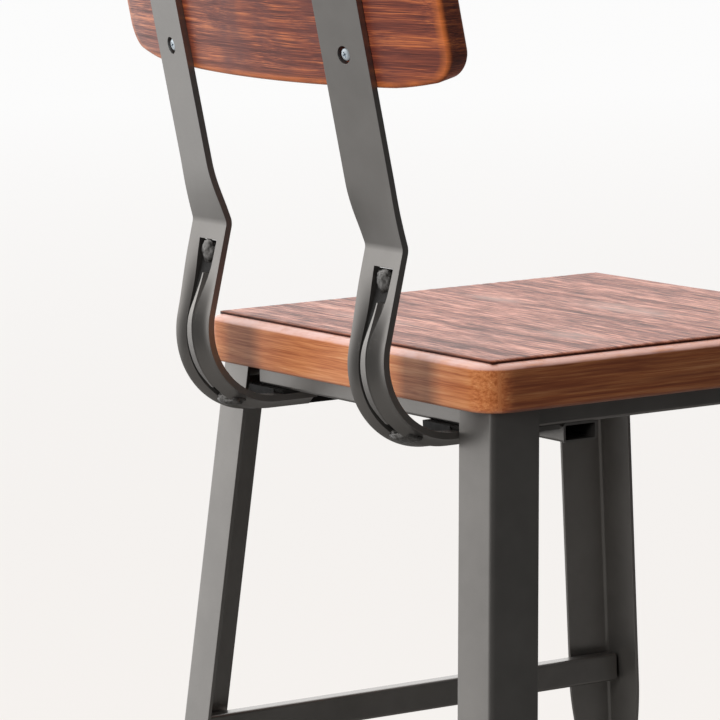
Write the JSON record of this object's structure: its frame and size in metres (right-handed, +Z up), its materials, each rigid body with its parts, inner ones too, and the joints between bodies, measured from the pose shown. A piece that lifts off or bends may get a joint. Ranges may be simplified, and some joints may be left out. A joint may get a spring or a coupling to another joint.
{
  "type": "bar stool",
  "caption": "Bar stool with a wooden seat and curved backrest on a grey folded-steel frame with stretchers and a footrest.",
  "frame": {"origin": "on the floor, at the middle of the stool's bounding box", "axes": "+Z up; the sitter faces -Y and the backrest is on +Y; +X is the sitter's left"},
  "size_m": [0.5254, 0.5368, 1.1125],
  "materials": {
    "seat_wood": "satin lacquered softwood, red-brown",
    "backrest_wood": "satin lacquered, dark red-brown worn to orange at the edges",
    "frame_steel": "satin gunmetal powder coat",
    "zinc": "bright zinc plate",
    "plastic": "matt black"
  },
  "bodies": {
    "root": {"seat_board": "seat_wood", "seat_panel": "seat_wood", "backrest_board": "backrest_wood", "back_strap_left": "frame_steel", "back_strap_right": "frame_steel", "strap_rib_left": "frame_steel", "strap_rib_right": "frame_steel", "strap_pad_left": "frame_steel", "strap_pad_right": "frame_steel", "rear_leg_left": "frame_steel", "rear_leg_right": "frame_steel", "front_leg_left": "frame_steel", "front_leg_right": "frame_steel", "rear_rail": "frame_steel", "front_rail": "frame_steel", "side_rail_left": "frame_steel", "side_rail_right": "frame_steel", "cross_bar": "frame_steel", "side_stretcher_left": "frame_steel", "side_stretcher_right": "frame_steel", "rear_stretcher": "frame_steel", "footrest_bar": "frame_steel", "corner_plate_rear_left": "frame_steel", "corner_plate_rear_right": "frame_steel", "corner_plate_front_left": "frame_steel", "corner_plate_front_right": "frame_steel", "glide_rear_left": "plastic", "glide_rear_right": "plastic", "glide_front_left": "plastic", "glide_front_right": "plastic", "seat_screws": "zinc", "backrest_screws": "zinc"}
  },
  "joints": []
}
